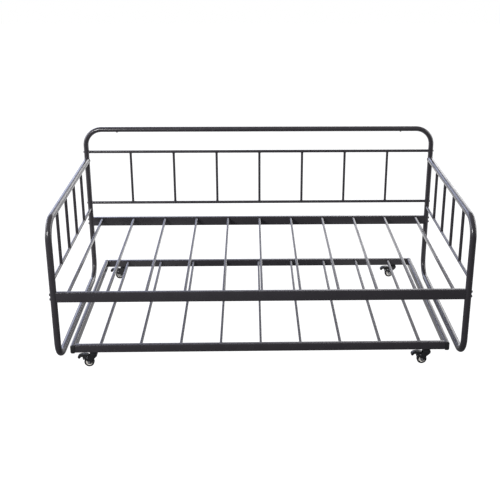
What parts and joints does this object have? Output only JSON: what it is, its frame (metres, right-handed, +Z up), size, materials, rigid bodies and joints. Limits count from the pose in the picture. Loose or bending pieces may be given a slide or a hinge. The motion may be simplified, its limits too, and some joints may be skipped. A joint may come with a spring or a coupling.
{
  "type": "trundle bed",
  "caption": "Tubular steel daybed with a spindle back, rounded arms and open slat deck, and a low slatted trundle on braked swivel casters that rolls out from underneath.",
  "frame": {"origin": "on the floor, at the middle of the footprint, with the trundle parked under the daybed", "axes": "+X along the length, with the open front seen from -Y; +Y towards the spindle back; +Z up"},
  "size_m": [1.9968, 1.0782, 0.9113],
  "materials": {
    "powder_coat": "semi-gloss charcoal black powder coat, very fine texture",
    "caster_steel": "glossy black painted pressed steel",
    "zinc": "bright zinc plate",
    "rubber": "matte black tread",
    "black_plastic": "satin moulded plastic",
    "hub_plastic": "pale moulded nylon wheel centre"
  },
  "bodies": {
    "daybed": {"arm_loop_left": "powder_coat", "side_infill_left": "powder_coat", "rear_post_left": "powder_coat", "top_rail_screw_left": "zinc", "deck_bolt_front_left_lower": "powder_coat", "deck_bolt_front_left_upper": "powder_coat", "deck_bolt_rear_left_lower": "powder_coat", "deck_bolt_rear_left_upper": "powder_coat", "arm_loop_right": "powder_coat", "side_infill_right": "powder_coat", "rear_post_right": "powder_coat", "top_rail_screw_right": "zinc", "deck_bolt_front_right_lower": "powder_coat", "deck_bolt_front_right_upper": "powder_coat", "deck_bolt_rear_right_lower": "powder_coat", "deck_bolt_rear_right_upper": "powder_coat", "top_rail": "powder_coat", "back_panel": "powder_coat", "deck_rail_front": "powder_coat", "deck_rail_rear": "powder_coat", "deck_slat_01": "powder_coat", "deck_slat_02": "powder_coat", "deck_slat_03": "powder_coat", "deck_slat_04": "powder_coat", "deck_slat_05": "powder_coat", "deck_slat_06": "powder_coat", "deck_slat_07": "powder_coat", "deck_slat_08": "powder_coat", "deck_slat_09": "powder_coat", "deck_slat_10": "powder_coat", "deck_slat_11": "powder_coat"},
    "trundle": {"trundle_rail_front": "powder_coat", "trundle_rail_rear": "powder_coat", "trundle_rail_left": "powder_coat", "trundle_rail_right": "powder_coat", "trundle_slat_1": "powder_coat", "trundle_slat_2": "powder_coat", "trundle_slat_3": "powder_coat", "trundle_slat_4": "powder_coat", "trundle_slat_5": "powder_coat", "trundle_slat_6": "powder_coat", "trundle_slat_7": "powder_coat", "trundle_slat_8": "powder_coat", "trundle_slat_9": "powder_coat", "caster_stem_front_left": "zinc", "caster_stem_front_right": "zinc", "caster_stem_rear_left": "zinc", "caster_stem_rear_right": "zinc"},
    "caster_front_left": {"caster_fork_front_left": "caster_steel"},
    "wheel_front_left": {"caster_wheel_front_left": "rubber"},
    "brake_front_left": {"brake_lever_front_left": "black_plastic"},
    "caster_front_right": {"caster_fork_front_right": "caster_steel"},
    "wheel_front_right": {"caster_wheel_front_right": "rubber"},
    "brake_front_right": {"brake_lever_front_right": "black_plastic"},
    "caster_rear_left": {"caster_fork_rear_left": "caster_steel"},
    "wheel_rear_left": {"caster_wheel_rear_left": "rubber"},
    "brake_rear_left": {"brake_lever_rear_left": "black_plastic"},
    "caster_rear_right": {"caster_fork_rear_right": "caster_steel"},
    "wheel_rear_right": {"caster_wheel_rear_right": "rubber"},
    "brake_rear_right": {"brake_lever_rear_right": "black_plastic"}
  },
  "joints": [
    {"name": "trundle_roll_out", "type": "slide", "parent": "daybed", "child": "trundle", "axis": [0, -1, 0], "range_m": [0, 1]},
    {"name": "caster_swivel_front_left", "type": "hinge", "parent": "trundle", "child": "caster_front_left", "pos_m": [-0.804, -0.52112, 0.074], "axis": [0, 0, 1], "continuous": true},
    {"name": "wheel_roll_front_left", "type": "hinge", "parent": "caster_front_left", "child": "wheel_front_left", "pos_m": [-0.826, -0.52112, 0.024], "axis": [0, 1, 0], "continuous": true},
    {"name": "brake_press_front_left", "type": "hinge", "parent": "caster_front_left", "child": "brake_front_left", "pos_m": [-0.849, -0.52112, 0.045], "axis": [0, -1, 0], "range_deg": [0, 15]},
    {"name": "caster_swivel_front_right", "type": "hinge", "parent": "trundle", "child": "caster_front_right", "pos_m": [0.791, -0.52112, 0.074], "axis": [0, 0, 1], "continuous": true},
    {"name": "wheel_roll_front_right", "type": "hinge", "parent": "caster_front_right", "child": "wheel_front_right", "pos_m": [0.769, -0.52112, 0.024], "axis": [0, 1, 0], "continuous": true},
    {"name": "brake_press_front_right", "type": "hinge", "parent": "caster_front_right", "child": "brake_front_right", "pos_m": [0.746, -0.52112, 0.045], "axis": [0, -1, 0], "range_deg": [0, 15]},
    {"name": "caster_swivel_rear_left", "type": "hinge", "parent": "trundle", "child": "caster_rear_left", "pos_m": [-0.804, 0.49088, 0.074], "axis": [0, 0, 1], "continuous": true},
    {"name": "wheel_roll_rear_left", "type": "hinge", "parent": "caster_rear_left", "child": "wheel_rear_left", "pos_m": [-0.826, 0.49088, 0.024], "axis": [0, 1, 0], "continuous": true},
    {"name": "brake_press_rear_left", "type": "hinge", "parent": "caster_rear_left", "child": "brake_rear_left", "pos_m": [-0.849, 0.49088, 0.045], "axis": [0, -1, 0], "range_deg": [0, 15]},
    {"name": "caster_swivel_rear_right", "type": "hinge", "parent": "trundle", "child": "caster_rear_right", "pos_m": [0.791, 0.49088, 0.074], "axis": [0, 0, 1], "continuous": true},
    {"name": "wheel_roll_rear_right", "type": "hinge", "parent": "caster_rear_right", "child": "wheel_rear_right", "pos_m": [0.769, 0.49088, 0.024], "axis": [0, 1, 0], "continuous": true},
    {"name": "brake_press_rear_right", "type": "hinge", "parent": "caster_rear_right", "child": "brake_rear_right", "pos_m": [0.746, 0.49088, 0.045], "axis": [0, -1, 0], "range_deg": [0, 15]}
  ]
}
